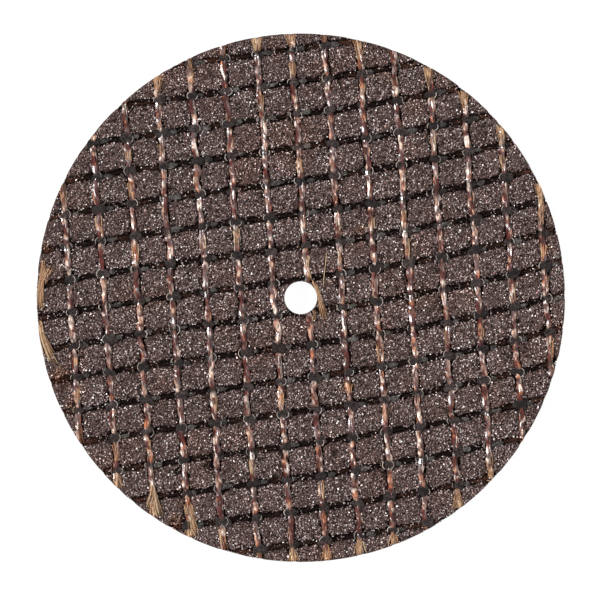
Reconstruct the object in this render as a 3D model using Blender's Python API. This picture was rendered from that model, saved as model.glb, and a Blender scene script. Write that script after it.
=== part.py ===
"""Cut off wheel: a thin disc of bonded abrasive with a woven glass net pressed into each face.

The wheel lies flat. Its origin is its centre and +Z is its axis, with the front face up.
The warps of the net run nearly along Y and its wefts nearly along X, a little askew, as a net comes
when it is punched from the roll. Each yarn lies in a V-shaped seat, and between the yarns the abrasive
stands up in pads that are level with the face.
"""

import math

import bmesh
import bpy
from mathutils import Matrix

# Wheel, in metres
WHEEL_DIAMETER = 0.0320
WHEEL_THICKNESS = 0.0011
BORE_DIAMETER = 0.0020

# Weave of the net
WARP_PITCH = 0.00206
WEFT_PITCH = 0.00200
# Where one warp crosses the X axis and one weft the Y axis
WARP_START = 0.00048
WEFT_START = -0.00091
WARP_LEAN = math.radians(4.0)
WEFT_RISE = math.radians(7.8)
# Radius of the wefts' slow bow, and the length that sets how their ends curl
WEFT_BOW_RADIUS = 0.32
WEFT_CURL_LENGTH = 0.084

# Section of a yarn, with depths below the face
YARN_WIDTH = 0.00036
YARN_SIDE_DEPTH = 0.00007
YARN_BELLY_DEPTH = 0.00025
WARP_CREST_DEPTH = 0.00001
SEAT_CLEARANCE = 0.00002

# Facets of the rim and of the bore
RIM_SIDES = 72
BORE_SIDES = 24

# How far a cutter reaches past what it cuts
CUTTER_REACH = 0.00010
MERGE_DISTANCE = 1e-7
# Rounds of substitution that place a crossing to well under a micrometre
CROSSING_ROUNDS = 8

FACE_HEIGHT = WHEEL_THICKNESS / 2.0
RIM_RADIUS = WHEEL_DIAMETER / 2.0
YARN_HALF_WIDTH = YARN_WIDTH / 2.0
# The seat's walls are parallel to the yarn's belly, the clearance away
SEAT_SLOPE = (YARN_BELLY_DEPTH - YARN_SIDE_DEPTH) / YARN_HALF_WIDTH
SEAT_DEPTH = YARN_BELLY_DEPTH + SEAT_CLEARANCE * math.hypot(1.0, SEAT_SLOPE)


def clear_scene():
    """Remove every object of the scene that is open."""
    for obj in list(bpy.data.objects):
        bpy.data.objects.remove(obj, do_unlink=True)


def make_collection(name):
    """A new collection in the scene."""
    collection = bpy.data.collections.new(name)
    bpy.context.scene.collection.children.link(collection)
    return collection


def make_material(name, colour, roughness):
    """Principled material of one colour and roughness."""
    material = bpy.data.materials.new(name)
    material.use_nodes = True
    shader = material.node_tree.nodes["Principled BSDF"]
    shader.inputs["Base Color"].default_value = (*colour, 1.0)
    shader.inputs["Roughness"].default_value = roughness
    shader.inputs["Metallic"].default_value = 0.0
    material.diffuse_color = (*colour, 1.0)
    return material


def object_from(bm, name, collection):
    """Turn the bmesh into an object of the collection."""
    mesh = bpy.data.meshes.new(name)
    bm.to_mesh(mesh)
    bm.free()
    obj = bpy.data.objects.new(name, mesh)
    collection.objects.link(obj)
    return obj


def disc_object(name, diameter, height, sides, collection):
    """Upright cylinder about the origin."""
    bm = bmesh.new()
    bmesh.ops.create_cone(
        bm,
        cap_ends=True,
        segments=sides,
        radius1=diameter / 2.0,
        radius2=diameter / 2.0,
        depth=height,
    )
    return object_from(bm, name, collection)


def as_cutter(obj):
    """Keep a cutter out of the render and draw it as wire."""
    obj.hide_render = True
    obj.display_type = "WIRE"
    return obj


def add_boolean(obj, operation, cutter):
    """Cut the object, or trim it, with another."""
    modifier = obj.modifiers.new(f"{operation.lower()}_{cutter.name}", "BOOLEAN")
    modifier.operation = operation
    modifier.solver = "EXACT"
    modifier.object = cutter


def weft_height(start, x):
    """Height of a weft above the X axis: it climbs to the right, bows and curls."""
    climb = x * math.tan(WEFT_RISE)
    bow = x * x / (2.0 * WEFT_BOW_RADIUS)
    curl = x**3 / WEFT_CURL_LENGTH**2
    return start + climb + bow + curl


def crossing_point(warp_start, weft_start):
    """Where the warp through (warp_start, 0) crosses the weft through (0, weft_start)."""
    y = weft_start
    for _ in range(CROSSING_ROUNDS):
        x = warp_start - y * math.tan(WARP_LEAN)
        y = weft_height(weft_start, x)
    return x, y


def yarn_starts(start, pitch, slant):
    """Starts of the yarns that the rim doesn't split along their length, and of one past it each way."""
    reach = (RIM_RADIUS - YARN_HALF_WIDTH) / math.cos(slant)
    first = math.ceil((-reach - start) / pitch)
    last = math.floor((reach - start) / pitch)
    inside = [start + pitch * number for number in range(first, last + 1)]
    return [inside[0] - 2.0 * pitch, *inside, inside[-1] + 2.0 * pitch]


def make_crossings(bm):
    """Sheet with a vertex at each crossing, and those vertices by warp and weft number."""
    warps = yarn_starts(WARP_START, WARP_PITCH, WARP_LEAN)
    wefts = yarn_starts(WEFT_START, WEFT_PITCH, WEFT_RISE)
    columns = len(warps) - 1
    rows = len(wefts) - 1
    bmesh.ops.create_grid(bm, x_segments=columns, y_segments=rows, size=1.0)
    crossings = {}
    for vert in bm.verts:
        column = round((vert.co.x + 1.0) / 2.0 * columns)
        row = round((vert.co.y + 1.0) / 2.0 * rows)
        vert.co.x, vert.co.y = crossing_point(warps[column], wefts[row])
        crossings[vert] = (column, row)
    return crossings


def sink_wefts(bm, crossings):
    """Take the wefts' crest away, so that they run under the warps at the height of their sides."""
    crests = []
    for edge in bm.edges:
        ends = [crossings.get(vert) for vert in edge.verts]
        if None not in ends and ends[0][1] == ends[1][1] and not edge.is_boundary:
            crests.append(edge)
    for crest in crests:
        ends = crest.verts[:]
        strip = bmesh.utils.face_join(crest.link_faces[:])
        for end in ends:
            corner = next(loop for loop in strip.loops if loop.vert is end)
            before = corner.link_loop_prev.vert
            after = corner.link_loop_next.vert
            pieces = (strip, bmesh.utils.face_split(strip, before, after)[0])
            strip = max(pieces, key=lambda face: len(face.verts))


def make_net(name, half_width, crest, side, belly, wefts_sunk, collection):
    """Crossed yarns as one closed body, with the heights of its crests, sides and bellies."""
    bm = bmesh.new()
    crossings = make_crossings(bm)
    openings = bm.faces[:]
    bmesh.ops.inset_individual(bm, faces=openings, thickness=half_width, use_even_offset=True)
    bmesh.ops.delete(bm, geom=openings, context="FACES_ONLY")
    for vert in bm.verts:
        vert.co.z = side
    under = bmesh.ops.duplicate(bm, geom=bm.verts[:] + bm.edges[:] + bm.faces[:])
    for vert in crossings:
        vert.co.z = crest
        under["vert_map"][vert].co.z = belly
    if wefts_sunk:
        sink_wefts(bm, crossings)
    bmesh.ops.remove_doubles(bm, verts=bm.verts[:], dist=MERGE_DISTANCE)
    border = [edge for edge in bm.edges if edge.is_boundary]
    bmesh.ops.bridge_loops(bm, edges=border)
    bmesh.ops.recalc_face_normals(bm, faces=bm.faces[:])
    return object_from(bm, name, collection)


def make_seat_cutter(collection):
    """Cutter of the front seats, whose walls carry on a little above the face."""
    top = FACE_HEIGHT + CUTTER_REACH
    half_width = (SEAT_DEPTH + CUTTER_REACH) / SEAT_SLOPE
    bottom = FACE_HEIGHT - SEAT_DEPTH
    cutter = make_net("front_seat_cutter", half_width, top, top, bottom, False, collection)
    return as_cutter(cutter)


def make_front_net(collection):
    """Yarns of the front net, still past the rim and over the bore."""
    crest = FACE_HEIGHT - WARP_CREST_DEPTH
    side = FACE_HEIGHT - YARN_SIDE_DEPTH
    belly = FACE_HEIGHT - YARN_BELLY_DEPTH
    return make_net("front_glass_net", YARN_HALF_WIDTH, crest, side, belly, True, collection)


def turned_over(obj, name, collection):
    """Copy of an object for the other face, mirrored in the wheel's mid-plane."""
    mesh = obj.data.copy()
    mesh.name = name
    mesh.transform(Matrix.Scale(-1.0, 4, (0.0, 0.0, 1.0)))
    mesh.flip_normals()
    other = bpy.data.objects.new(name, mesh)
    collection.objects.link(other)
    return other


def finish(obj, material, parent):
    """Give a piece its material and shading, and carry it on the wheel's empty."""
    obj.data.materials.clear()
    obj.data.materials.append(material)
    obj.data.shade_flat()
    obj.parent = parent


def build_wheel():
    """Make the abrasive disc and its two nets."""
    clear_scene()
    wheel = make_collection("cut_off_wheel")
    cutters = make_collection("cutters")
    abrasive = make_material("abrasive", (0.115, 0.080, 0.072), 0.95)
    glass_yarn = make_material("resin_coated_glass_yarn", (0.260, 0.095, 0.036), 0.32)
    centre = bpy.data.objects.new("wheel_centre", None)
    wheel.objects.link(centre)

    tall = WHEEL_THICKNESS + 2.0 * CUTTER_REACH
    rim = as_cutter(disc_object("rim_trimmer", WHEEL_DIAMETER, tall, RIM_SIDES, cutters))
    bore = as_cutter(disc_object("bore_cutter", BORE_DIAMETER, 2.0 * tall, BORE_SIDES, cutters))
    front_seats = make_seat_cutter(cutters)
    back_seats = as_cutter(turned_over(front_seats, "back_seat_cutter", cutters))

    disc = disc_object("abrasive_disc", WHEEL_DIAMETER, WHEEL_THICKNESS, RIM_SIDES, wheel)
    add_boolean(disc, "DIFFERENCE", bore)
    add_boolean(disc, "DIFFERENCE", front_seats)
    add_boolean(disc, "DIFFERENCE", back_seats)
    finish(disc, abrasive, centre)

    front = make_front_net(wheel)
    back = turned_over(front, "back_glass_net", wheel)
    for net in (front, back):
        add_boolean(net, "INTERSECT", rim)
        add_boolean(net, "DIFFERENCE", bore)
        finish(net, glass_yarn, centre)


build_wheel()
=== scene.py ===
"""Looks of the cut off wheel: coarse grain between the yarns of a resin-coated glass net, on both faces."""

import math

import bpy
import numpy as np
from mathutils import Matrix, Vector


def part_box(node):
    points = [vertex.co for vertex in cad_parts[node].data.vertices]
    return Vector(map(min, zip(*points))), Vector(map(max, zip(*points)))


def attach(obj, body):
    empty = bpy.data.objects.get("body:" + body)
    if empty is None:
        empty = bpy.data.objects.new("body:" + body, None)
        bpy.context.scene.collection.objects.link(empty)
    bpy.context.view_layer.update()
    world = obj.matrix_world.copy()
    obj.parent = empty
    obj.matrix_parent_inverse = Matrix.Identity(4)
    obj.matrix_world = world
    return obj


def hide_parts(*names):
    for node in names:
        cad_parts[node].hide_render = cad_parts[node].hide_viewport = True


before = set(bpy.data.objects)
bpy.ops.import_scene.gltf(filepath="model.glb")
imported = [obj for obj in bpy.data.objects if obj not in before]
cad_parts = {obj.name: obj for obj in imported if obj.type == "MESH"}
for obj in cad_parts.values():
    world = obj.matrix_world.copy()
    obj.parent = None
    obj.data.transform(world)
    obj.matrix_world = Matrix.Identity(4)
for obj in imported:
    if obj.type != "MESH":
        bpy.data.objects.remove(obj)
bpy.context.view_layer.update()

MM = 0.001

# Wheel: its rim and faces are read from the solids, and its bore is a size of the construction
WHEEL_LOW, WHEEL_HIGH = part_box("abrasive_disc")
RIM_RADIUS = (WHEEL_HIGH.x - WHEEL_LOW.x) / 2.0
FACE_HEIGHT = WHEEL_HIGH.z
BORE_RADIUS = 1.0 * MM

# Weave of the net, as in the construction
WARP_PITCH = 2.06 * MM
WEFT_PITCH = 2.00 * MM
WARP_START = 0.48 * MM
WEFT_START = -0.91 * MM
WARP_LEAN = math.tan(math.radians(4.0))
WEFT_RISE = math.tan(math.radians(7.8))
WEFT_BOW_RADIUS = 0.32
WEFT_CURL_LENGTH = 0.084
CROSSING_ROUNDS = 8
# Numbers of the yarns that the rim doesn't split
WARPS = range(-7, 8)
WEFTS = range(-7, 9)

# Pads of abrasive between the yarns
WARP_CHANNEL = 0.225 * MM
WEFT_CHANNEL = 0.24 * MM
PAD_CORNER = 0.27 * MM
CHANNEL_DEPTH = 0.28 * MM
CHANNEL_WALL = 0.11 * MM
PAD_SINK = 0.075 * MM
WARP_STEPS = (0.0, 0.05, 0.075, 0.105, 0.20, 0.35, 0.5, 0.65, 0.80, 0.895, 0.925, 0.95)
WEFT_STEPS = (0.0, 0.07, 0.10, 0.135, 0.21, 0.35, 0.5, 0.65, 0.79, 0.865, 0.90, 0.93)
WALL_ROWS = 8

# Unevenness of a pad's edge, coarse and then fine: height, size of its lumps and step of the seed
EDGE_WAVES = ((0.06 * MM, 0.30 * MM, 0), (0.05 * MM, 0.14 * MM, 2))
# How far within its edge a pad starts to fall, and size of the lumps of its face and of the walls
EDGE_ROUNDING = 0.02 * MM
PAD_LUMP = 0.12 * MM
# Grid lines added round the bore: their first and last numbers, and how many there are each way
BORE_WARPS = (-0.74, 0.27)
BORE_WEFTS = (-0.06, 0.97)
BORE_LINES = 15
# How far the grid is shaken, and size of the lumps of that
GRID_SHAKE = 0.012 * MM
SHAKE_LUMP = 0.1 * MM
# Depth of the roughness of the rim's and the bore's walls
WALL_ROUGHNESS = 0.02 * MM
# Colours of the resin bond on the pads and in the channels
PAD_TONE = (0.068, 0.044, 0.040)
CHANNEL_TONE = (0.006, 0.004, 0.0035)

# Places on the front face where the abrasive has broken out beside a yarn, in mm: x, y and radius
PITS = (
    (-7.42, -10.60, 0.30),
    (-5.42, -10.15, 0.36),
    (6.25, 9.95, 0.24),
    (7.75, 6.35, 0.26),
    (-9.00, 5.60, 0.20),
    (2.05, -9.30, 0.22),
    (8.60, 0.50, 0.22),
    (-2.60, 7.00, 0.18),
)

# Rusty brown patches of the front face, in mm: x, y and radius
STAINS = (
    (2.81, -5.35, 0.55),
    (-15.45, 3.10, 0.45),
    (-14.60, -4.70, 0.80),
    (-7.60, -13.60, 0.75),
    (-13.90, -6.60, 0.55),
    (3.66, 4.20, 0.45),
    (14.90, 3.00, 0.50),
)

# Tints of those patches and of a faint tinge over the wheel, and size of the lumps of both
NO_TINT = (1.0, 1.0, 1.0)
STAIN_TINT = (1.12, 0.82, 0.55)
STAIN_LUMP = 0.2 * MM
TINGE = (1.06, 0.96, 0.90)
TINGE_LUMP = 1.7 * MM

# Mean distances between the grains, and their smallest and largest radius
FRONT_GRID = 0.110 * MM
BACK_GRID = 0.138 * MM
RIM_GRID = 0.13 * MM
GRAIN_SMALL = 0.044 * MM
GRAIN_LARGE = 0.088 * MM
# Above 1, more of the grains are small
GRAIN_SKEW = 1.5
# Least and greatest reach of a grain's corners, as shares of its radius
CORNER_REACH = (0.75, 1.25)
# How far anything may stand above the face
PROUD = 0.015 * MM

# Seeds of the two faces' relief
FRONT_SEED = 11
BACK_SEED = 12

rng = np.random.default_rng(20)


def hashed(cells, seed):
    """Value from 0 to 1 for each whole-numbered cell."""
    n = cells[:, 0] * 73856093 ^ cells[:, 1] * 19349663 ^ cells[:, 2] * 83492791 ^ (seed + 7) * 2654435761
    n = (n ^ (n >> 13)) * 1274126177 & 0xFFFFFFFF
    n = (n ^ (n >> 15)) * 2246822519 & 0xFFFFFFFF
    return (n >> 8 & 0xFFFF) / 65535.0


def noise(points, size, seed):
    """Smooth random value from -1 to 1 at each point, with lumps about as wide as the size."""
    scaled = np.asarray(points, float) / size
    cells = np.floor(scaled).astype(np.int64)
    part = scaled - cells
    part = part * part * (3.0 - 2.0 * part)
    total = np.zeros(len(scaled))
    for corner in np.ndindex(2, 2, 2):
        weight = np.prod(np.where(np.array(corner) == 1, part, 1.0 - part), axis=1)
        total += weight * hashed(cells + np.array(corner), seed)
    return 2.0 * total - 1.0


def noise_on_plane(x, y, size, seed):
    """The same for points of the face."""
    return noise(np.stack([x, y, np.zeros_like(x)], axis=1), size, seed)


def smooth_step(low, high, value):
    """0 below low, 1 above high and smooth between."""
    part = np.clip((value - low) / (high - low), 0.0, 1.0)
    return part * part * (3.0 - 2.0 * part)


def mixed(first, second, share):
    """Blend of two colours by a share for each point."""
    share = np.asarray(share)[:, None]
    return np.asarray(first) * (1.0 - share) + np.asarray(second) * share


def weft_rise_at(x):
    """Height that a weft gains between the Y axis and x."""
    return x * WEFT_RISE + x * x / (2.0 * WEFT_BOW_RADIUS) + x**3 / WEFT_CURL_LENGTH**2


def place(warp, weft):
    """Points of the face at warp and weft numbers, which may lie between two yarns."""
    start_x = WARP_START + WARP_PITCH * np.asarray(warp, float)
    start_y = WEFT_START + WEFT_PITCH * np.asarray(weft, float)
    y = start_y
    for _ in range(CROSSING_ROUNDS):
        x = start_x - y * WARP_LEAN
        y = start_y + weft_rise_at(x)
    return x, y


def yarn_numbers(x, y):
    """Warp and weft number of each point of the face."""
    warp = (x + y * WARP_LEAN - WARP_START) / WARP_PITCH
    weft = (y - weft_rise_at(x) - WEFT_START) / WEFT_PITCH
    return warp, weft


def outside_pad(warp, weft):
    """Distance from the edge of the nearest pad, a rectangle with round corners; negative on it."""
    across = (0.5 - np.abs(warp - np.round(warp))) * WARP_PITCH
    along = (0.5 - np.abs(weft - np.round(weft))) * WEFT_PITCH
    over_x = across - (WARP_PITCH / 2.0 - WARP_CHANNEL - PAD_CORNER)
    over_y = along - (WEFT_PITCH / 2.0 - WEFT_CHANNEL - PAD_CORNER)
    corner = np.hypot(np.maximum(over_x, 0.0), np.maximum(over_y, 0.0))
    return corner + np.minimum(np.maximum(over_x, over_y), 0.0) - PAD_CORNER


def face_depth(x, y, seed):
    """Depth of the abrasive below the face, without its grains, and its share of the fall to a channel."""
    warp, weft = yarn_numbers(x, y)
    edge = outside_pad(warp, weft)
    if seed == FRONT_SEED:
        for pit_x, pit_y, radius in PITS:
            edge = np.maximum(edge, radius * MM - np.hypot(x - pit_x * MM, y - pit_y * MM))
    for height, lump, shift in EDGE_WAVES:
        edge = edge + height * noise_on_plane(x, y, lump, seed + shift)
    fall = smooth_step(-EDGE_ROUNDING, CHANNEL_WALL, edge)
    rough = 0.5 + 0.5 * noise_on_plane(x, y, PAD_LUMP, seed + 1)
    return PAD_SINK * (0.5 + rough) + (CHANNEL_DEPTH - PAD_SINK) * fall, fall


def trimmed(vertices):
    """The vertices cut to the wheel's own outline, its bore and a little above its faces."""
    radius = np.hypot(vertices[:, 0], vertices[:, 1])
    scale = np.clip(radius, BORE_RADIUS, RIM_RADIUS) / radius
    height = np.clip(vertices[:, 2], -FACE_HEIGHT - PROUD, FACE_HEIGHT + PROUD)
    return np.column_stack([vertices[:, 0] * scale, vertices[:, 1] * scale, height])


def stained(points, tones):
    """The tones with the front face's rusty patches and the faint tinge over them."""
    share = np.zeros(len(points))
    for x, y, radius in STAINS:
        away = np.hypot(points[:, 0] - x * MM, points[:, 1] - y * MM)
        share = np.maximum(share, 1.0 - smooth_step(0.3 * radius * MM, radius * MM, away))
    share *= (points[:, 2] > 0.0) * (0.65 + 0.35 * noise(points, STAIN_LUMP, 61))
    tones = tones * mixed(NO_TINT, STAIN_TINT, share)
    tinge = smooth_step(0.0, 0.8, noise(points, TINGE_LUMP, 62))
    return tones * mixed(NO_TINT, TINGE, tinge)


def new_object(name, vertices, faces, tones=None, smooth=False):
    """Mesh object from arrays, with a colour for each vertex in its tone attribute."""
    vertices = np.array(vertices, float)
    faces = np.asarray(faces, np.int64)
    if tones is not None:
        vertices = trimmed(vertices)
        tones = stained(vertices, tones)
    mesh = bpy.data.meshes.new(name)
    sides = faces.shape[1]
    mesh.vertices.add(len(vertices))
    mesh.vertices.foreach_set("co", vertices.ravel())
    mesh.loops.add(faces.size)
    mesh.loops.foreach_set("vertex_index", faces.ravel())
    mesh.polygons.add(len(faces))
    mesh.polygons.foreach_set("loop_start", np.arange(0, faces.size, sides))
    mesh.polygons.foreach_set("use_smooth", np.full(len(faces), smooth))
    mesh.update(calc_edges=True)
    if tones is not None:
        colours = np.ones((len(vertices), 4))
        colours[:, :3] = tones
        tone = mesh.color_attributes.new("tone", "FLOAT_COLOR", "POINT")
        tone.data.foreach_set("color", colours.ravel())
    mesh.validate()
    obj = bpy.data.objects.new(name, mesh)
    bpy.context.scene.collection.objects.link(obj)
    return obj


class Pieces:
    """Gathers many small closed meshes of triangles into one."""

    def __init__(self):
        self.vertices = []
        self.faces = []
        self.tones = []
        self.count = 0

    def add(self, vertices, faces, tones):
        """Add one mesh; its faces count from its own first vertex."""
        self.vertices.append(vertices)
        self.faces.append(np.asarray(faces) + self.count)
        self.tones.append(np.broadcast_to(tones, vertices.shape))
        self.count += len(vertices)

    def build(self, name, smooth):
        """Make the object."""
        return new_object(
            name, np.vstack(self.vertices), np.vstack(self.faces), np.vstack(self.tones), smooth
        )


def tube(path, widths, heights, sides, turn=0.0):
    """Closed tube round a path that lies nearly flat, with its vertices and triangles."""
    count = len(path)
    along = np.gradient(path, axis=0)
    along /= np.linalg.norm(along, axis=1)[:, None] + 1e-12
    side = np.cross(along, (0.0, 0.0, 1.0))
    side /= np.linalg.norm(side, axis=1)[:, None] + 1e-12
    up = np.cross(side, along)
    angles = np.arange(sides) * 2.0 * math.pi / sides
    angles = angles[None, :] + np.broadcast_to(turn, count)[:, None]
    out = np.cos(angles)[:, :, None] * side[:, None, :] * np.asarray(widths)[:, None, None]
    rise = np.sin(angles)[:, :, None] * up[:, None, :] * np.asarray(heights)[:, None, None]
    vertices = (path[:, None, :] + out + rise).reshape(-1, 3)
    row, column = np.meshgrid(np.arange(count - 1), np.arange(sides), indexing="ij")
    a = (row * sides + column).ravel()
    b = (row * sides + (column + 1) % sides).ravel()
    faces = [np.stack([a, b, b + sides], axis=1), np.stack([a, b + sides, a + sides], axis=1)]
    vertices = np.vstack([vertices, path[0], path[-1]])
    ring = np.arange(sides)
    after = (ring + 1) % sides
    last = (count - 1) * sides
    faces.append(np.stack([np.full(sides, count * sides), after, ring], axis=1))
    faces.append(np.stack([np.full(sides, count * sides + 1), last + ring, last + after], axis=1))
    return vertices, np.vstack(faces)


def inside_runs(x, y, margin):
    """Stretches of a yarn that lie between the bore and the rim, as slices."""
    radius = np.hypot(x, y)
    inside = (radius < RIM_RADIUS - margin) & (radius > BORE_RADIUS + margin)
    edges = np.flatnonzero(np.diff(np.concatenate([[0], inside.astype(int), [0]])))
    return [slice(a, b) for a, b in zip(edges[::2], edges[1::2]) if b - a > 4]


def face_sheet(side, seed):
    """Grid of one face as vertices, quads and falls; what lies past the rim or bore is drawn onto it."""
    warps = (np.arange(WARPS[0] - 2, WARPS[-1] + 2)[:, None] + np.array(WARP_STEPS)).ravel()
    warps = np.union1d(warps, np.linspace(*BORE_WARPS, BORE_LINES))
    wefts = (np.arange(WEFTS[0] - 2, WEFTS[-1] + 3)[:, None] + np.array(WEFT_STEPS)).ravel()
    wefts = np.union1d(wefts, np.linspace(*BORE_WEFTS, BORE_LINES))
    grid_warp, grid_weft = np.meshgrid(warps, wefts, indexing="ij")
    x, y = place(grid_warp.ravel(), grid_weft.ravel())
    x = x + GRID_SHAKE * noise_on_plane(x, y, SHAKE_LUMP, 3)
    y = y + GRID_SHAKE * noise_on_plane(x, y, SHAKE_LUMP, 4)
    radius = np.hypot(x, y)
    past = radius >= RIM_RADIUS
    in_bore = radius <= BORE_RADIUS
    scale = np.where(past, RIM_RADIUS / radius, np.where(in_bore, BORE_RADIUS / radius, 1.0))
    x = x * scale
    y = y * scale
    depth, fall = face_depth(x, y, seed)
    vertices = np.stack([x, y, side * (FACE_HEIGHT - depth)], axis=1)
    rows = len(wefts)
    column, row = np.meshgrid(np.arange(len(warps) - 1), np.arange(rows - 1), indexing="ij")
    first = (column * rows + row).ravel()
    quads = np.stack([first, first + rows, first + rows + 1, first + 1], axis=1)
    keep = ~(past[quads].all(axis=1) | in_bore[quads].all(axis=1))
    return vertices, quads[keep], fall


def border_edges(quads, total):
    """Edges that only one of the quads has, turned as it turns them."""
    edges = np.vstack([quads[:, [k, (k + 1) % 4]] for k in range(4)])
    key = np.sort(edges, axis=1) @ np.array([total, 1])
    _, first, count = np.unique(key, return_index=True, return_counts=True)
    return edges[first[count == 1]]


def wall_points(front, back, share):
    """Points of the rough walls, at a share of the way from the front's border to the back's."""
    points = front * (1.0 - share) + back * share
    rough = WALL_ROUGHNESS * (0.5 + 0.5 * noise(points, PAD_LUMP, 21))
    radius = np.hypot(points[:, 0], points[:, 1])
    # The rim is eaten away inwards and the bore outwards
    direction = np.where(radius > RIM_RADIUS / 2.0, -1.0, 1.0)
    points[:, :2] *= (1.0 + direction * rough / radius)[:, None]
    return points


def build_matrix():
    """The abrasive body: two faces and the walls of the rim and the bore, in one closed mesh."""
    front, quads, front_fall = face_sheet(1.0, FRONT_SEED)
    back, _, back_fall = face_sheet(-1.0, BACK_SEED)
    total = len(front)
    border = border_edges(quads, total)
    ends = np.unique(border)
    lookup = np.zeros(total, np.int64)
    lookup[ends] = np.arange(len(ends))
    levels = [ends]
    rows = []
    for level in range(1, WALL_ROWS):
        rows.append(wall_points(front[ends], back[ends], level / WALL_ROWS))
        levels.append(2 * total + (level - 1) * len(ends) + np.arange(len(ends)))
    levels.append(total + ends)
    a, b = lookup[border[:, 0]], lookup[border[:, 1]]
    walls = []
    for upper, lower in zip(levels[:-1], levels[1:]):
        walls.append(np.stack([upper[b], upper[a], lower[a], lower[b]], axis=1))
    vertices = np.vstack([front, back, *rows])
    faces = np.vstack([quads, total + quads[:, ::-1], *walls])
    fall = np.concatenate([front_fall, back_fall, np.zeros(len(ends) * (WALL_ROWS - 1))])
    used = np.unique(faces)
    renumber = np.zeros(len(vertices), np.int64)
    renumber[used] = np.arange(len(used))
    tones = mixed(PAD_TONE, CHANNEL_TONE, fall[used])
    return new_object("abrasive_matrix", vertices[used], renumber[faces], tones)


def turned(vectors, count):
    """The vectors of each of the pieces, turned by a random rotation of its own."""
    q = rng.normal(size=(count, 4))
    q /= np.linalg.norm(q, axis=1)[:, None]
    w, x, y, z = q.T
    rows = [
        [1 - 2 * (y * y + z * z), 2 * (x * y - z * w), 2 * (x * z + y * w)],
        [2 * (x * y + z * w), 1 - 2 * (x * x + z * z), 2 * (y * z - x * w)],
        [2 * (x * z - y * w), 2 * (y * z + x * w), 1 - 2 * (x * x + y * y)],
    ]
    matrix = np.array(rows).transpose(2, 0, 1)
    return np.einsum("nij,nkj->nki", matrix, vectors)


# Mean shade of a grain as it is seen, its spread, its drift over the wheel, size of the lumps of that, and
# its range
GRAIN_SHADE = 0.558
GRAIN_SPREAD = 0.12
SHADE_DRIFT = 0.06
SHADE_LUMPS = (1.1 * MM, 0.45 * MM)
SHADE_RANGE = (0.08, 1.05)
# Turns a shade as it is seen into one of light
DISPLAY_GAMMA = 2.2
# Tints of dull, bright and rusty grains, and the shades between which dull turns to bright
DULL_GRAIN = (1.03, 0.70, 0.65)
BRIGHT_GRAIN = (1.0, 0.82, 0.79)
RUSTY_GRAIN = (1.0, 0.60, 0.52)
BRIGHT_FROM = (0.10, 0.45)
# Colours of the dark grains and of the white grains, which are painted glints, and the limit of any grain's
# colour
DARK_GRAIN = (0.013, 0.007, 0.0055)
GLINT_WHITE_GRAIN = (0.82, 0.77, 0.75)
BRIGHTEST_TONE = 0.85
# Shares of the grains that are dark, rusty and white with a painted glint
DARK_SHARE = 0.20
RUSTY_SHARE = 0.05
GLINT_WHITE_SHARE = 0.048


def grain_tones(points):
    """Colour of each grain: mostly grey-brown, some dark, some rusty, a few white as painted glints."""
    count = len(points)
    level = rng.random(count)
    patch = SHADE_DRIFT * noise(points, SHADE_LUMPS[0], 51) + SHADE_DRIFT * noise(points, SHADE_LUMPS[1], 52)
    shade = np.clip(GRAIN_SHADE + rng.normal(0.0, GRAIN_SPREAD, count) + patch, *SHADE_RANGE)
    shade = shade[:, None] ** DISPLAY_GAMMA
    tones = mixed(DULL_GRAIN, BRIGHT_GRAIN, smooth_step(*BRIGHT_FROM, shade[:, 0])) * shade
    tones[level < DARK_SHARE] = DARK_GRAIN
    rusty = (level >= DARK_SHARE) & (level < DARK_SHARE + RUSTY_SHARE)
    tones[rusty] = np.array(RUSTY_GRAIN) * shade[rusty]
    # Painted glints: a few grains are coloured near-white, standing in for the sparkle of their facets
    tones[level > 1.0 - GLINT_WHITE_SHARE] = GLINT_WHITE_GRAIN
    return np.clip(tones, 0.0, BRIGHTEST_TONE)


def build_grains(name, points, scale=1.0):
    """Chips of abrasive: four-cornered splinters that stand any way up, half sunk in the body."""
    count = len(points)
    corners = np.array([[1, 1, 1], [1, -1, -1], [-1, 1, -1], [-1, -1, 1]]) / math.sqrt(3.0)
    shapes = corners[None] * rng.uniform(*CORNER_REACH, (count, 4, 1))
    size = scale * (GRAIN_SMALL + (GRAIN_LARGE - GRAIN_SMALL) * rng.random(count) ** GRAIN_SKEW)
    shapes = turned(shapes * size[:, None, None], count)
    vertices = (points[:, None, :] + shapes).reshape(-1, 3)
    chip = np.array([[0, 1, 2], [0, 3, 1], [0, 2, 3], [1, 3, 2]])
    faces = (np.arange(count)[:, None, None] * 4 + chip[None]).reshape(-1, 3)
    tones = np.repeat(grain_tones(points), 4, axis=0)
    return new_object(name, vertices, faces, tones)


# Share of the grains that the bottom of a channel lacks
CHANNEL_LACK = 0.72
# How far from the rim and from the bore the outermost grains have their middles
GRAIN_RIM_GAP = 0.065 * MM
GRAIN_BORE_GAP = 0.085 * MM
# How far grains stand up from the pads, as a share of the sink, and how unevenly they settle, in mm
GRAIN_STAND = 0.45
GRAIN_SETTLING = 0.03
# How far above the bottom of a channel crumbs of grain may lie, on its yarn
CRUMB_HEIGHT = 0.15 * MM


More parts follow.
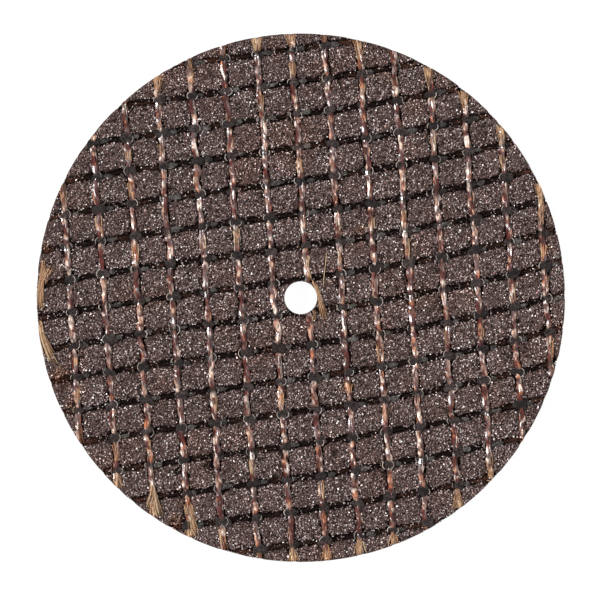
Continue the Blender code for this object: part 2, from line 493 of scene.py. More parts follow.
def face_grains(name, side, grid, seed):
    """Grains of one face: close together on the pads, and few in the channels and on the yarns."""
    half = int(RIM_RADIUS / grid)
    cell_x, cell_y = np.meshgrid(np.arange(-half, half + 1), np.arange(-half, half + 1))
    x = (cell_x.ravel() + rng.uniform(-0.5, 0.5, cell_x.size)) * grid
    y = (cell_y.ravel() + rng.uniform(-0.5, 0.5, cell_x.size)) * grid
    radius = np.hypot(x, y)
    depth, fall = face_depth(x, y, seed)
    keep = rng.random(x.size) > fall * CHANNEL_LACK
    keep &= (radius < RIM_RADIUS - GRAIN_RIM_GAP) & (radius > BORE_RADIUS + GRAIN_BORE_GAP)
    settling = rng.uniform(0.0, GRAIN_SETTLING, x.size) * MM
    sunk = depth - PAD_SINK * GRAIN_STAND * (1.0 - fall) + settling
    sunk -= CRUMB_HEIGHT * fall * rng.random(x.size) ** 0.5
    points = np.stack([x, y, side * (FACE_HEIGHT - sunk)], axis=1)[keep]
    return build_grains(name, points)


# How deep in mm the grains of the rim and the bore have their middles, what share of the height they
# cover, and their size as a share of that of the others
RIM_GRAIN_SINK = (0.015, 0.045)
RIM_GRAIN_SPAN = 0.94
RIM_GRAIN_SCALE = 0.8


def rim_grains():
    """Grains that the cut rim and the bore show."""
    points = []
    for radius, inward in ((RIM_RADIUS, -1.0), (BORE_RADIUS, 1.0)):
        around = int(2.0 * math.pi * radius / RIM_GRID)
        down = int(2.0 * FACE_HEIGHT / RIM_GRID)
        turn, level = np.meshgrid(np.arange(around), np.arange(down))
        turn = (turn.ravel() + rng.uniform(-0.5, 0.5, turn.size)) * 2.0 * math.pi / around
        level = (level.ravel() + rng.uniform(0.1, 0.9, level.size)) / down
        reach = radius + inward * rng.uniform(*RIM_GRAIN_SINK, turn.size) * MM
        height = FACE_HEIGHT * RIM_GRAIN_SPAN * (1.0 - 2.0 * level)
        points.append(np.stack([reach * np.cos(turn), reach * np.sin(turn), height], axis=1))
    return build_grains("rim_grains", np.vstack(points), RIM_GRAIN_SCALE)


# Colours of the resin-coated yarn
PALE_TAN = (0.70, 0.54, 0.455)
TAN = (0.43, 0.245, 0.17)
ORANGE = (0.39, 0.140, 0.068)
RED_BROWN = (0.085, 0.013, 0.008)
DARK_RESIN = (0.014, 0.006, 0.004)
BLACK_RESIN = (0.006, 0.0035, 0.003)
PALE_STRAW = (0.66, 0.49, 0.31)
STRAW = (0.54, 0.330, 0.18)
DRY_TAN = (0.44, 0.225, 0.115)
RUST = (0.050, 0.021, 0.013)

# Turn of the strands' facets that sets one of them towards the light
FACET_TURN = 0.49
# How far the warps lie to the left of the middle of their channels
WARP_SLIP = 0.01 * MM

# Steps along a warp, as shares of the pitch of the wefts
FRONT_WARP_STEP = 0.055
BACK_WARP_STEP = 0.075
# How far short of the rim and of the bore the warps and the wefts end
WARP_END_GAP = 0.03 * MM
WEFT_END_GAP = 0.04 * MM
# Sway of a warp from side to side, slow and quick: its width and the length of its waves
SLOW_SWAY = (0.070 * MM, 0.62)
QUICK_SWAY = (0.045 * MM, 0.22)
# Depth of a warp's middle below the face, how far the twist lifts a strand and a knot sinks it
WARP_DEPTH = 0.105 * MM
TWIST_LIFT = 0.02 * MM
KNOT_DIP = 0.05 * MM
# How far to each side of a crossing the knot presses the warp, and how much closer it draws the strands
KNOT_REACH = 0.24 * MM
KNOT_PINCH = 0.35
# Distances from the rim between which a bare end turns into a coated yarn
BARE_END = (0.2 * MM, 0.9 * MM)

# Strands of a warp: half width, distance from its middle line, start of its twist and facets
WARP_STRANDS = (
    (0.135 * MM, 0.068 * MM, 0.0, 6),
    (0.108 * MM, 0.098 * MM, 1.0, 6),
    (0.050 * MM, 0.150 * MM, 1.6, 4),
    (0.038 * MM, 0.125 * MM, 0.5, 4),
)

# Warps whose ends at the front face's rim are bare of resin
BARE_UPPER_ENDS = (-4, -1, 0, 2, 4, 5, 6, 7)
BARE_LOWER_ENDS = (-6, -5, -4, -1, 0, 1, 2, 4, 5)
# Height of a strand as a share of its width
STRAND_FLATNESS = 0.85

# Colours laid over a warp's red-brown one after another: the colour, the noise at which it starts and is
# full, size of its lumps, step of its seed, how much of the region's value is added, and a plain addition
WARP_COLOURS = (
    (ORANGE, (-0.20, 0.22), 0.27, 4, -1.0, 0.0),
    (TAN, (-0.02, 0.16), 0.25, 5, 1.0, -0.05),
    (PALE_TAN, (0.16, 0.36), 0.15, 6, 0.5, 0.0),
    (RED_BROWN, (-0.12, 0.04), 0.16, 9, 0.0, 0.0),
)


def bareness(warp, upper, side):
    """How bare of resin a warp's end at the rim is, from 0 to 1."""
    share = float(hashed(np.array([[warp, int(upper), int(side)]]), 90)[0])
    if side < 0:
        return share
    bare_ends = BARE_UPPER_ENDS if upper else BARE_LOWER_ENDS
    return 0.65 + 0.35 * share if warp in bare_ends else 0.25 * share


def build_warps(name, side, seed):
    """Warp yarns, each of four uneven strands that twist about half a turn between two crossings."""
    pieces = Pieces()
    step = FRONT_WARP_STEP if side > 0 else BACK_WARP_STEP
    for warp in WARPS:
        weft = np.arange(WEFTS[0] - 1.5, WEFTS[-1] + 1.5, step)
        x, y = place(warp, weft)
        for run in inside_runs(x, y, WARP_END_GAP):
            add_warp_run(pieces, warp, weft[run], x[run], y[run], side, seed)
    return pieces.build(name, False)


def add_warp_run(pieces, warp, number, x, y, side, seed):
    """The strands of a warp from one end of a run to the other, at points with the given weft numbers."""
    where = np.stack([np.full(len(number), warp * 3.7), number, np.zeros(len(number))], axis=1)
    sway = SLOW_SWAY[0] * noise(where, SLOW_SWAY[1], seed)
    sway = sway + QUICK_SWAY[0] * noise(where, QUICK_SWAY[1], seed + 1) - WARP_SLIP
    near = np.exp(-(((number - np.round(number)) * WEFT_PITCH / KNOT_REACH) ** 2))
    bare = np.where(number > 0.0, bareness(warp, True, side), bareness(warp, False, side))
    dry = bare * (1.0 - smooth_step(*BARE_END, RIM_RADIUS - np.hypot(x, y)))
    for strand, (half_width, away, lead, facets) in enumerate(WARP_STRANDS):
        body = where + np.array([0.0, 0.0, strand * 5.0])
        phase = math.pi * (number + lead) + 1.8 * noise(body, 0.9, seed + 2)
        shift = sway + away * (1.0 - KNOT_PINCH * near) * np.cos(phase)
        lift = FACE_HEIGHT - WARP_DEPTH + TWIST_LIFT * np.sin(phase) - KNOT_DIP * near
        path = np.stack([x + shift, y, side * lift], axis=1)
        width = half_width * (1.12 - 0.30 * near + 0.30 * noise(body, 0.30, seed + 3))
        turn = FACET_TURN + 0.55 * noise(body, 0.22, seed + 8) + 0.35 * noise(body, 1.1, seed + 11)
        ring, faces = tube(path, width, STRAND_FLATNESS * width, facets, turn)
        around = np.tile(np.arange(facets) * 2.0 * math.pi / facets, len(number))
        skin = np.repeat(body, facets, axis=0)
        skin[:, 1] += 0.06 * np.sin(around)
        skin[:, 2] += 0.10 * np.cos(around)
        tones = warp_tones(skin, np.repeat(near, facets), np.repeat(dry, facets), seed)
        pieces.add(ring, faces, np.vstack([tones, tones[0], tones[-1]]))


def warp_tones(body, near, dry, seed):
    """Colours over a strand: red-brown, orange or tan between crossings, dark at them."""
    region = 0.25 * noise(body, 2.3, seed + 10)
    tones = np.array(RED_BROWN)
    for colour, band, lump, shift, pull, extra in WARP_COLOURS:
        level = noise(body, lump, seed + shift) + pull * region + extra
        tones = mixed(tones, colour, smooth_step(*band, level))
    tones = mixed(tones, DARK_RESIN, near * smooth_step(-0.6, 0.1, noise(body, 0.8, seed + 7)))
    return mixed(tones, STRAW, dry)


# Steps along a weft, as shares of the pitch of the warps, and facets of its tube
WEFT_STEP = 0.09
WEFT_FACETS = 6
# Half width and half height of a weft, and how far it sways
WEFT_HALF_WIDTH = 0.15 * MM
WEFT_HALF_HEIGHT = 0.060 * MM
WEFT_SWAY = 0.045 * MM
# Depth of its middle below the face, and how far that changes
WEFT_DEPTH = 0.25 * MM
WEFT_DIP = 0.04 * MM
# Distances from the rim between which a rusty end turns black
RUSTY_END = (0.3 * MM, 1.2 * MM)


def build_wefts(name, side, seed):
    """Weft yarns, sunk in the channels, black with resin and rusty near the rim."""
    pieces = Pieces()
    for weft in WEFTS:
        warp = np.arange(WARPS[0] - 2.5, WARPS[-1] + 2.5, WEFT_STEP)
        x, y = place(warp, weft)
        for run in inside_runs(x, y, WEFT_END_GAP):
            where = np.stack([warp[run], np.full(len(warp[run]), weft * 3.1), 0 * warp[run]], axis=1)
            sway = WEFT_SWAY * noise(where, 0.5, seed)
            swell = 1.0 + 0.30 * noise(where, 0.25, seed + 1)
            depth = WEFT_DEPTH + WEFT_DIP * noise(where, 0.35, seed + 2)
            path = np.stack([x[run], y[run] + sway, side * (FACE_HEIGHT - depth)], axis=1)
            dry = 0.7 - 0.7 * smooth_step(*RUSTY_END, RIM_RADIUS - np.hypot(x[run], y[run]))
            brown = 0.3 * smooth_step(0.1, 0.6, noise(where, 0.6, seed + 3))
            tones = mixed(BLACK_RESIN, RUST, np.maximum(dry, brown)) * 0.8
            ring, faces = tube(path, WEFT_HALF_WIDTH * swell, WEFT_HALF_HEIGHT * swell, WEFT_FACETS)
            pieces.add(ring, faces, np.vstack([np.repeat(tones, WEFT_FACETS, axis=0), tones[0], tones[-1]]))
    return pieces.build(name, False)


def blob(centre, sizes, turn, seed, rings=5, sides=12):
    """Flattened lump with a rough outline, as vertices and triangles."""
    polar = np.linspace(0.0, math.pi, rings + 1)[1:-1]
    around = np.arange(sides) * 2.0 * math.pi / sides
    z = np.repeat(np.cos(polar), sides)
    level = np.repeat(np.sin(polar), sides)
    x = level * np.tile(np.cos(around), rings - 1)
    y = level * np.tile(np.sin(around), rings - 1)
    points = np.vstack([np.stack([x, y, z], axis=1), [0, 0, 1.0], [0, 0, -1.0]])
    points *= (1.0 + 0.34 * noise(points + seed * 2.3, 0.6, 31))[:, None]
    points = np.sign(points) * np.abs(points) ** np.array([1.0, 1.0, 0.6]) * np.array(sizes)
    c, s = math.cos(turn), math.sin(turn)
    points = points @ np.array([[c, s, 0.0], [-s, c, 0.0], [0.0, 0.0, 1.0]]) + centre
    faces = []
    for ring in range(rings - 2):
        for k in range(sides):
            a = ring * sides + k
            b = ring * sides + (k + 1) % sides
            faces += [[a, a + sides, b + sides], [a, b + sides, b]]
    top = (rings - 1) * sides
    for k in range(sides):
        after = (k + 1) % sides
        faces.append([top, k, after])
        faces.append([top + 1, (rings - 2) * sides + after, (rings - 2) * sides + k])
    return points, np.array(faces)


# Knots: half lengths and half widths in mm, half thickness and colour
KNOT_LENGTHS = (0.30, 0.49)
KNOT_WIDTHS = (0.23, 0.37)
KNOT_THICKNESS = 0.032 * MM
KNOT_TONE = (0.026, 0.019, 0.018)
# Share of the knots that lie under their warp, and the depths below the face of those and of the others
UNDER_SHARE = 0.24
UNDER_DEPTH = 0.16 * MM
KNOT_DEPTH = 0.055 * MM
# Smears beside knots: share of knots with one, distances from the knot in mm, rise, half lengths and half
# widths in mm, half thickness, depth below the face and colour
SMEAR_SHARE = 0.6
SMEAR_PLACES = (0.40, 0.62)
SMEAR_RISE = 0.08 * MM
SMEAR_LENGTHS = (0.18, 0.42)
SMEAR_WIDTHS = (0.12, 0.20)
SMEAR_THICKNESS = 0.04 * MM
SMEAR_DEPTH = 0.10 * MM
SMEAR_TONE = (0.050, 0.045, 0.042)
# Least distance of knots and smears from the rim, and of knots and then smears from the bore
KNOT_RIM_GAP = 0.3 * MM
KNOT_BORE_GAP = 0.35 * MM
SMEAR_BORE_GAP = 0.45 * MM


def build_knots(name, side, seed):
    """Flattened resin knots where the yarns cross, and smaller smears beside some of them."""
    pieces = Pieces()
    draw = np.random.default_rng(seed)
    for warp in WARPS:
        for weft in WEFTS:
            x, y = place(warp, weft)
            x = float(x) + draw.normal(0.05, 0.06) * MM
            y = float(y) + draw.normal(0.0, 0.05) * MM
            sizes = (draw.uniform(*KNOT_LENGTHS) * MM, draw.uniform(*KNOT_WIDTHS) * MM, KNOT_THICKNESS)
            turn = draw.uniform(-0.4, 0.6)
            grey = draw.uniform(0.5, 1.3)
            under = draw.random() < UNDER_SHARE
            smeared = draw.random() < SMEAR_SHARE
            smear_x = x + draw.uniform(*SMEAR_PLACES) * MM
            radius = math.hypot(x, y)
            if RIM_RADIUS - KNOT_RIM_GAP < radius or radius < BORE_RADIUS + KNOT_BORE_GAP:
                continue
            centre = np.array([x, y, side * (FACE_HEIGHT - (UNDER_DEPTH if under else KNOT_DEPTH))])
            points, faces = blob(centre, sizes, turn, warp * 31 + weft * 7 + seed)
            crumbs = draw.uniform(0.35, 1.8, (len(points), 1))
            pieces.add(points, faces, np.array(KNOT_TONE) * grey * crumbs)
            smear_radius = math.hypot(smear_x, y)
            if smeared and BORE_RADIUS + SMEAR_BORE_GAP < smear_radius < RIM_RADIUS - KNOT_RIM_GAP:
                centre = np.array([smear_x, y + SMEAR_RISE, side * (FACE_HEIGHT - SMEAR_DEPTH)])
                length = draw.uniform(*SMEAR_LENGTHS) * MM
                width = draw.uniform(*SMEAR_WIDTHS) * MM
                sizes = (length, width, SMEAR_THICKNESS)
                points, faces = blob(centre, sizes, 0.15, warp * 17 + weft * 5 + seed, 4, 8)
                crumbs = draw.uniform(0.5, 1.9, (len(points), 1))
                pieces.add(points, faces, np.array(SMEAR_TONE) * grey * crumbs)
    return pieces.build(name, False)


def along_line(line, share):
    """Points in metres at shares from 0 to 1 of a line of points in millimetres."""
    line = np.asarray(line, float) * MM
    marks = np.linspace(0.0, 1.0, len(line))
    return np.column_stack([np.interp(share, marks, line[:, axis]) for axis in range(2)])


# Points along each loose fibre, how far it sways, and how far in mm it may lie below the face
FIBRE_POINTS = 9
FIBRE_SWAY = 0.022 * MM
FIBRE_DEPTH = 0.05
# Share of the fibres that are pale, and what resin leaves of a fibre's colour
PALE_SHARE = 0.2
RESIN_TINT = (0.42, 0.22, 0.15)


def fan(pieces, draw, line, wide, radii, fibres, side, ragged=(0.25, 0.25), bare=1.0):
    """Fibres along a line of points, from one half width at its start to another at its end.

    Lengths are in millimetres, and a fibre's radius lies between the two radii. The ragged shares say how
    far from either end a fibre may start or stop. Fibres that aren't bare are brown with resin.
    """
    for _ in range(fibres):
        share = np.linspace(draw.uniform(0.0, ragged[0]), 1.0 - draw.uniform(0.0, ragged[1]), FIBRE_POINTS)
        middle = along_line(line, share)
        along = np.gradient(middle, axis=0)
        along /= np.linalg.norm(along, axis=1)[:, None]
        across = np.column_stack([along[:, 1], -along[:, 0]])
        start = draw.uniform(-1.0, 1.0)
        end = np.clip(start + draw.normal(0.0, 0.3), -1.15, 1.15)
        offset = (start * wide[0] * (1.0 - share) + end * wide[1] * share) * MM
        wave = FIBRE_SWAY * np.sin(share * draw.uniform(3.0, 8.0) + draw.uniform(0.0, 6.0))
        path = middle + across * (offset + wave)[:, None]
        lift = FACE_HEIGHT - draw.uniform(0.0, FIBRE_DEPTH) * MM
        path = np.column_stack([path, np.full(FIBRE_POINTS, side * lift)])
        radius = draw.uniform(*radii) * MM
        shade = draw.uniform(0.25, 1.25)
        pale = draw.random() < PALE_SHARE
        blend = draw.random()
        path = path[np.hypot(path[:, 0], path[:, 1]) < RIM_RADIUS - 0.005 * MM]
        if len(path) < 3:
            continue
        taper = radius * np.linspace(1.0, 0.75, len(path))
        tone = np.array(PALE_STRAW) if pale else mixed(STRAW, DRY_TAN, [blend])[0] * shade
        tone = tone * mixed(RESIN_TINT, NO_TINT, [bare])[0]
        ring, faces = tube(path, taper, taper, 4)
        pieces.add(ring, faces, tone)


# Tufts of the front face in millimetres: their line, half widths, radii of the fibres and their number.
# The first ones stand at the bore, and the others lie along the left rim, where it splits a warp.
FRONT_TUFTS = (
    (
        ((0.30, 2.65), (0.36, 2.2), (0.42, 1.7), (0.52, 1.35), (0.62, 1.05)),
        (0.14, 0.10),
        (0.018, 0.032),
        9,
    ),
    (
        ((0.67, 1.10), (0.87, 0.80), (1.02, 0.42), (1.13, 0.05), (1.24, -0.35), (1.36, -0.8), (1.52, -1.40)),
        (0.06, 0.22),
        (0.014, 0.030),
        26,
    ),
    (((0.82, -0.72), (0.80, -1.1), (0.74, -1.5)), (0.10, 0.10), (0.014, 0.026), 7),
    (
        ((1.60, 2.95), (1.52, 2.5), (1.46, 2.0), (1.38, 1.4), (1.36, 0.8), (1.38, 0.3)),
        (0.02, 0.04),
        (0.012, 0.020),
        4,
    ),
    (
        ((-15.55, 2.3), (-15.62, 1.5), (-15.72, 0.8), (-15.77, 0.1), (-15.80, -0.8)),
        (0.10, 0.24),
        (0.016, 0.030),
        34,
    ),
    (((-15.05, 2.0), (-15.35, 1.4), (-15.62, 0.6)), (0.20, 0.14), (0.012, 0.022), 9),
    (
        ((-15.80, -1.35), (-15.72, -1.9), (-15.60, -2.4), (-15.42, -2.9), (-15.22, -3.4), (-14.90, -4.1)),
        (0.10, 0.30),
        (0.018, 0.032),
        34,
    ),
    (((-6.75, -12.35), (-6.62, -13.2), (-6.42, -14.55)), (0.10, 0.28), (0.018, 0.034), 26),
    (((-8.97, -11.2), (-9.02, -11.9), (-9.25, -12.8)), (0.10, 0.18), (0.018, 0.034), 18),
    (((-8.95, -11.3), (-8.80, -12.2), (-8.50, -13.35)), (0.08, 0.20), (0.018, 0.034), 20),
)


def yarn_line(warp, weft_from, weft_to, count=9):
    """Points in millimetres along a warp."""
    x, y = place(warp, np.linspace(weft_from, weft_to, count))
    return np.column_stack([x, y]) / MM


# Frayed ends at the rim: lengths as shares of the pitch of the wefts, and in mm the half widths at the
# start and at the rim, how much wider a bare one is there, and the radii of the fibres
FRAY_LENGTHS = (0.45, 0.80)
FRAY_STARTS = (0.09, 0.17)
FRAY_ENDS = (0.14, 0.22)
BARE_SPREAD = 0.18
FRAY_RADII = (0.018, 0.036)
# Fibres of a coated end, and how many more a bare one has
FRAY_FIBRES = 6
BARE_FIBRES = 14


def add_rim_frays(pieces, draw, side):
    """Broad ribbons of bare fibres where the warps reach the rim."""
    for warp in WARPS:
        weft = np.arange(WEFTS[0] - 1.5, WEFTS[-1] + 1.5, 0.01)
        x, y = place(warp, weft)
        inside = np.flatnonzero(np.hypot(x, y) < RIM_RADIUS - 0.01 * MM)
        for last, inward in ((inside[-1], -1.0), (inside[0], 1.0)):
            bare = bareness(warp, inward < 0.0, side)
            to_crossing = abs(weft[last] - round(weft[last] + inward * 0.55))
            length = min(to_crossing - 0.08, draw.uniform(*FRAY_LENGTHS))
            line = yarn_line(warp, weft[last] + inward * length, weft[last])
            wide = (draw.uniform(*FRAY_STARTS), draw.uniform(*FRAY_ENDS) + BARE_SPREAD * bare)
            fibres = FRAY_FIBRES + int(BARE_FIBRES * bare)
            fan(pieces, draw, line, wide, FRAY_RADII, fibres, side, (0.35, 0.0), bare)


# Stretches of the front face whose fibres are dry: their warp, and the crossing weft below them
FRONT_DRY = (
    *((-7, 4), (-7, -1), (-7, -2), (-6, 3), (-6, -4), (-5, 5), (-5, 4), (-5, 2), (-5, -4)),
    *((-4, 5), (-4, -6), (-3, 7), (-3, 2), (-3, -3), (-3, -7), (-2, 2), (-2, -5), (-1, 6), (-1, -3)),
    *((0, 7), (0, 4), (0, 1), (0, -1), (0, -6), (1, 2), (1, 1), (1, -3), (2, 6), (2, 4), (2, 2), (2, -2)),
    *((3, 6), (3, 2), (3, 1), (4, 4), (4, -2), (5, -2), (5, -6), (6, 3), (6, -1)),
    *((7, 1), (7, 0), (7, -1), (7, -3)),
)


# Share of the back's stretches that are dry, half widths and radii of their fibres in mm, and their number
BACK_DRY_SHARE = 0.12
DRY_WIDE = (0.13, 0.20)
DRY_RADII = (0.022, 0.038)
DRY_FIBRES = 9
# Least distances of their middles from the bore and from the rim
DRY_BORE_GAP = 1.0 * MM
DRY_RIM_GAP = 0.3 * MM


def add_dry_stretches(pieces, draw, side):
    """Bare fibres on some of the stretches between two crossings."""
    for warp in WARPS:
        for weft in WEFTS:
            picked = (warp, weft) in FRONT_DRY if side > 0 else draw.random() < BACK_DRY_SHARE
            start = draw.uniform(0.12, 0.35)
            stop = draw.uniform(0.65, 0.88)
            radius = math.hypot(*place(warp, weft + 0.5))
            if picked and BORE_RADIUS + DRY_BORE_GAP < radius < RIM_RADIUS - DRY_RIM_GAP:
                line = yarn_line(warp, weft + start, weft + stop)
                fan(pieces, draw, line, DRY_WIDE, DRY_RADII, DRY_FIBRES, side)


# Chance of a loop on either side of a knot, its points, and the facets of its thread
LOOP_CHANCE = 0.42
LOOP_POINTS = 9
LOOP_FACETS = 5
# Half widths and half lengths of a loop and radii of its thread, in mm, and its colour
LOOP_WIDTHS = (0.30, 0.38)
LOOP_LENGTHS = (0.25, 0.33)
LOOP_RADII = (0.018, 0.030)
LOOP_TONE = (0.44, 0.38, 0.34)
# Depth of a loop's crown below the face, how far its ends dip and its least distance from rim and bore
LOOP_DEPTH = 0.020 * MM
LOOP_DIP = 0.03 * MM
LOOP_GAP = 0.5 * MM


def add_loops(pieces, draw, side):
    """Fine loops of yarn that hold the crossings, on one or both sides of a knot."""
    for warp in WARPS:
        for weft in WEFTS:
            x, y = place(warp, weft)
            radius = math.hypot(x, y)
            clear = BORE_RADIUS + LOOP_GAP <= radius <= RIM_RADIUS - LOOP_GAP
            sides = (draw.random() < LOOP_CHANCE, draw.random() < LOOP_CHANCE)
            for flank, picked in zip((math.pi, 0.0), sides):
                sweep = draw.uniform(0.9, 2.3)
                first = flank + draw.uniform(-0.5, 0.5)
                wide = draw.uniform(*LOOP_WIDTHS) * MM
                tall = draw.uniform(*LOOP_LENGTHS) * MM
                thick = np.full(LOOP_POINTS, draw.uniform(*LOOP_RADII) * MM)
                pale = draw.uniform(0.6, 1.3)
                if not picked or not clear:
                    continue
                turn = np.linspace(first - sweep / 2.0, first + sweep / 2.0, LOOP_POINTS)
                bow = LOOP_DIP * np.linspace(-1.0, 1.0, LOOP_POINTS) ** 2
                level = side * (FACE_HEIGHT - LOOP_DEPTH - bow)
                path = np.column_stack([x + wide * np.cos(turn), y + tall * np.sin(turn), level])
                ring, faces = tube(path, thick, thick, LOOP_FACETS)
                pieces.add(ring, faces, np.array(LOOP_TONE) * pale)


def build_fibres(name, side, seed):
    """Loose fibres: frayed ends at the rim, dry stretches, loops at the knots and tufts at the bore."""
    pieces = Pieces()
    draw = np.random.default_rng(seed)
    add_rim_frays(pieces, draw, side)
    add_dry_stretches(pieces, draw, side)
    add_loops(pieces, draw, side)
    if side > 0:
        for line, wide, radii, fibres in FRONT_TUFTS:
            fan(pieces, draw, line, wide, radii, fibres, side)
    return pieces.build(name, True)


def new_material(name, roughness):
    """Material with a principled shader, and its nodes and links."""
    material = bpy.data.materials.new(name)
    material.use_nodes = True
    nodes = material.node_tree.nodes
    shader = nodes["Principled BSDF"]
    shader.inputs["Roughness"].default_value = roughness
    return material, nodes, material.node_tree.links, shader


def tone_node(nodes):
    """Colour that the mesh carries at its vertices."""
    tone = nodes.new("ShaderNodeAttribute")
    tone.attribute_name = "tone"
    return tone.outputs["Color"]


def noise_node(nodes, links, scale, detail, stretch):
    """Noise over the object's own coordinates."""
    coordinates = nodes.new("ShaderNodeTexCoord")
    mapping = nodes.new("ShaderNodeMapping")
    mapping.inputs["Scale"].default_value = stretch
    texture = nodes.new("ShaderNodeTexNoise")
    texture.inputs["Scale"].default_value = scale
    texture.inputs["Detail"].default_value = detail
    links.new(coordinates.outputs["Object"], mapping.inputs["Vector"])
    links.new(mapping.outputs["Vector"], texture.inputs["Vector"])
    return texture.outputs["Fac"]


# Span of the noise that the mottle of a material uses
MOTTLE_FROM = 0.36
MOTTLE_TO = 0.64


def varied(nodes, links, colour, fac, low, high):
    """The colour made darker and lighter by the noise."""
    band = nodes.new("ShaderNodeMapRange")
    band.inputs["From Min"].default_value = MOTTLE_FROM
    band.inputs["From Max"].default_value = MOTTLE_TO
    band.inputs["To Min"].default_value = low
    band.inputs["To Max"].default_value = high
    mix = nodes.new("ShaderNodeVectorMath")
    mix.operation = "SCALE"
    links.new(fac, band.inputs["Value"])
    links.new(colour, mix.inputs[0])
    links.new(band.outputs["Result"], mix.inputs["Scale"])
    return mix.outputs["Vector"]


def add_bump(nodes, links, shader, fac, distance, strength):
    """Fine relief from the noise."""
    bump = nodes.new("ShaderNodeBump")
    bump.inputs["Distance"].default_value = distance
    bump.inputs["Strength"].default_value = strength
    links.new(fac, bump.inputs["Height"])
    links.new(bump.outputs["Normal"], shader.inputs["Normal"])


# Detail of the noise, and strength of the relief that it gives
NOISE_DETAIL = 3.0
RELIEF_STRENGTH = 0.7

# Materials: name, roughness, specular level, scale of the mottle, its darkest and lightest share, depth of
# its relief and its stretch along X, Y and Z
FINISHES = {
    "matrix": ("resin_bond", 0.80, 0.04, 15000.0, (0.10, 2.50), 0.030 * MM, (1.0, 1.0, 1.0)),
    "grain": ("abrasive_grain", 0.52, 0.16, 18000.0, (0.00, 2.40), 0.012 * MM, (1.0, 1.0, 1.0)),
    "warp": ("coated_warp", 0.34, 0.50, 11000.0, (0.25, 1.85), 0.006 * MM, (1.0, 0.28, 1.0)),
    "weft": ("sunk_weft", 0.42, 0.06, 11000.0, (0.05, 3.60), 0.050 * MM, (0.7, 1.0, 1.0)),
    "knot": ("resin_knot", 0.55, 0.20, 12000.0, (0.25, 2.20), 0.060 * MM, (1.0, 1.0, 1.0)),
    "fibre": ("dry_fibre", 0.40, 0.50, 12000.0, (0.80, 1.20), 0.005 * MM, (1.0, 1.0, 1.0)),
}
# Resin coat of the warps
WARP_COAT = {"Coat Weight": 1.0, "Coat Roughness": 0.165, "Coat IOR": 1.55}


def tone_material(name, roughness, specular, scale, shares, relief, stretch):
    """Material of the mesh's own tones, mottled and with fine relief, and its shader."""
    material, nodes, links, shader = new_material(name, roughness)
    shader.inputs["Specular IOR Level"].default_value = specular
    fac = noise_node(nodes, links, scale, NOISE_DETAIL, stretch)
    links.new(varied(nodes, links, tone_node(nodes), fac, *shares), shader.inputs["Base Color"])
    add_bump(nodes, links, shader, fac, relief, RELIEF_STRENGTH)
    return material, shader


def make_materials():
    """The wheel's materials by name."""
    looks = {}
    for key, finish in FINISHES.items():
        looks[key], shader = tone_material(*finish)
        if key == "warp":
            for socket, value in WARP_COAT.items():
                shader.inputs[socket].default_value = value
    return looks


def dress(obj, material):
    """Give a piece its material and the body that it rides on."""
    obj.data.materials.append(material)
    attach(obj, "root")
    return obj


def build_wheel():
    """All the pieces of the wheel."""
    looks = make_materials()
    body = dress(build_matrix(), looks["matrix"])
    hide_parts("abrasive_disc")
    for name, side, grid, seed in (
        ("front_grains", 1.0, FRONT_GRID, FRONT_SEED),
        ("back_grains", -1.0, BACK_GRID, BACK_SEED),
    ):
        dress(face_grains(name, side, grid, seed), looks["grain"])
    dress(rim_grains(), looks["grain"])
    for face, side, seed in (("front", 1.0, 40), ("back", -1.0, 70)):
        warps = dress(build_warps(f"{face}_warps", side, seed), looks["warp"])
        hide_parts(f"{face}_glass_net")
        wefts = dress(build_wefts(f"{face}_wefts", side, seed + 10), looks["weft"])
        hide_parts(f"{face}_glass_net")
        dress(build_knots(f"{face}_knots", side, seed + 15), looks["knot"])
        dress(build_fibres(f"{face}_fibres", side, seed + 20), looks["fibre"])


# Half width of the floor, its gap under the wheel, the grey that takes the shadow and the glow to white
FLOOR_HALF_WIDTH = 0.6
FLOOR_GAP = 0.05 * MM
FLOOR_GREY = 0.11
FLOOR_GLOW = 0.96


def build_floor():
    """Plain white floor under the wheel, which keeps its shadow."""
    corners = np.array([[-1.0, -1.0, 0.0], [1.0, -1.0, 0.0], [1.0, 1.0, 0.0], [-1.0, 1.0, 0.0]])
    corners *= FLOOR_HALF_WIDTH
    corners[:, 2] = -(FACE_HEIGHT + FLOOR_GAP)
    floor = new_object("floor", corners, [[0, 1, 2, 3]])
    material, nodes, links, shader = new_material("white_floor", 0.9)
    shader.inputs["Base Color"].default_value = (FLOOR_GREY, FLOOR_GREY, FLOOR_GREY, 1.0)
    shader.inputs["Specular IOR Level"].default_value = 0.0
    shader.inputs["Emission Color"].default_value = (1.0, 1.0, 1.0, 1.0)
    path = nodes.new("ShaderNodeLightPath")
    glow = nodes.new("ShaderNodeMath")
    glow.operation = "MULTIPLY"
    glow.inputs[1].default_value = FLOOR_GLOW
    links.new(path.outputs["Is Camera Ray"], glow.inputs[0])
    links.new(glow.outputs["Value"], shader.inputs["Emission Strength"])
    floor.data.materials.append(material)


# Strength of the surround that lights the wheel; the camera itself sees it white
SURROUND = 0.27
# Lamps: name, strength, and width, azimuth and elevation in degrees
LAMPS = (
    ("key", 2.4, 9.0, 150.0, 34.0),
    ("strip", 1.6, 16.0, 182.0, 34.0),
    ("fill", 0.5, 40.0, 20.0, 60.0),
)


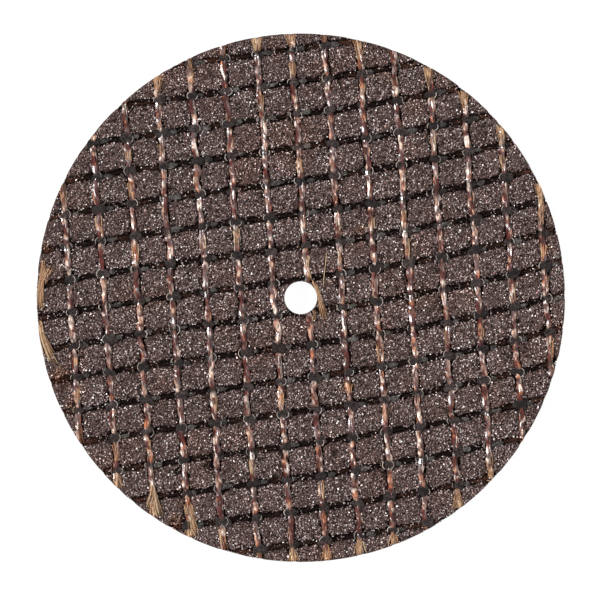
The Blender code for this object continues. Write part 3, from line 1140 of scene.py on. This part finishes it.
def build_light():
    """Low key and a broader lamp from the left, a weak wide one from the right and a white surround."""
    world = bpy.data.worlds.new("surround")
    bpy.context.scene.world = world
    world.use_nodes = True
    nodes = world.node_tree.nodes
    nodes["Background"].inputs["Color"].default_value = (1.0, 1.0, 1.0, 1.0)
    seen = nodes.new("ShaderNodeMapRange")
    seen.inputs["To Min"].default_value = SURROUND
    seen.inputs["To Max"].default_value = 1.0
    path = nodes.new("ShaderNodeLightPath")
    world.node_tree.links.new(path.outputs["Is Camera Ray"], seen.inputs["Value"])
    world.node_tree.links.new(seen.outputs["Result"], nodes["Background"].inputs["Strength"])
    for name, strength, spread, azimuth, elevation in LAMPS:
        lamp = bpy.data.lights.new(name, "SUN")
        lamp.energy = strength
        lamp.angle = math.radians(spread)
        obj = bpy.data.objects.new(name, lamp)
        bpy.context.scene.collection.objects.link(obj)
        turn, rise = math.radians(azimuth), math.radians(elevation)
        toward = Vector((math.cos(turn) * math.cos(rise), math.sin(turn) * math.cos(rise), math.sin(rise)))
        obj.rotation_euler = toward.to_track_quat("Z", "Y").to_euler()


# Width of the photograph, and the wheel's radius and centre in it, in pixels
IMAGE_SIZE = 601.0
WHEEL_PIXEL_RADIUS = 264.43
WHEEL_PIXEL_X = 300.23
WHEEL_PIXEL_Y = 297.22
# Camera's focal length and sensor width, in mm
LENS = 100.0
SENSOR_WIDTH = 36.0


def build_camera():
    """Camera straight above, with the wheel where the photograph has it."""
    camera = bpy.data.cameras.new("camera")
    camera.lens = LENS
    camera.sensor_width = SENSOR_WIDTH
    camera.clip_start = 0.01
    pixel = RIM_RADIUS / WHEEL_PIXEL_RADIUS
    view = IMAGE_SIZE * pixel
    middle = (IMAGE_SIZE - 1.0) / 2.0
    obj = bpy.data.objects.new("camera", camera)
    bpy.context.scene.collection.objects.link(obj)
    obj.location = (
        (middle - WHEEL_PIXEL_X) * pixel,
        (WHEEL_PIXEL_Y - middle) * pixel,
        FACE_HEIGHT + view * LENS / SENSOR_WIDTH,
    )
    bpy.context.scene.camera = obj


build_wheel()
build_floor()
build_light()
build_camera()
bpy.context.scene.view_settings.view_transform = "Standard"
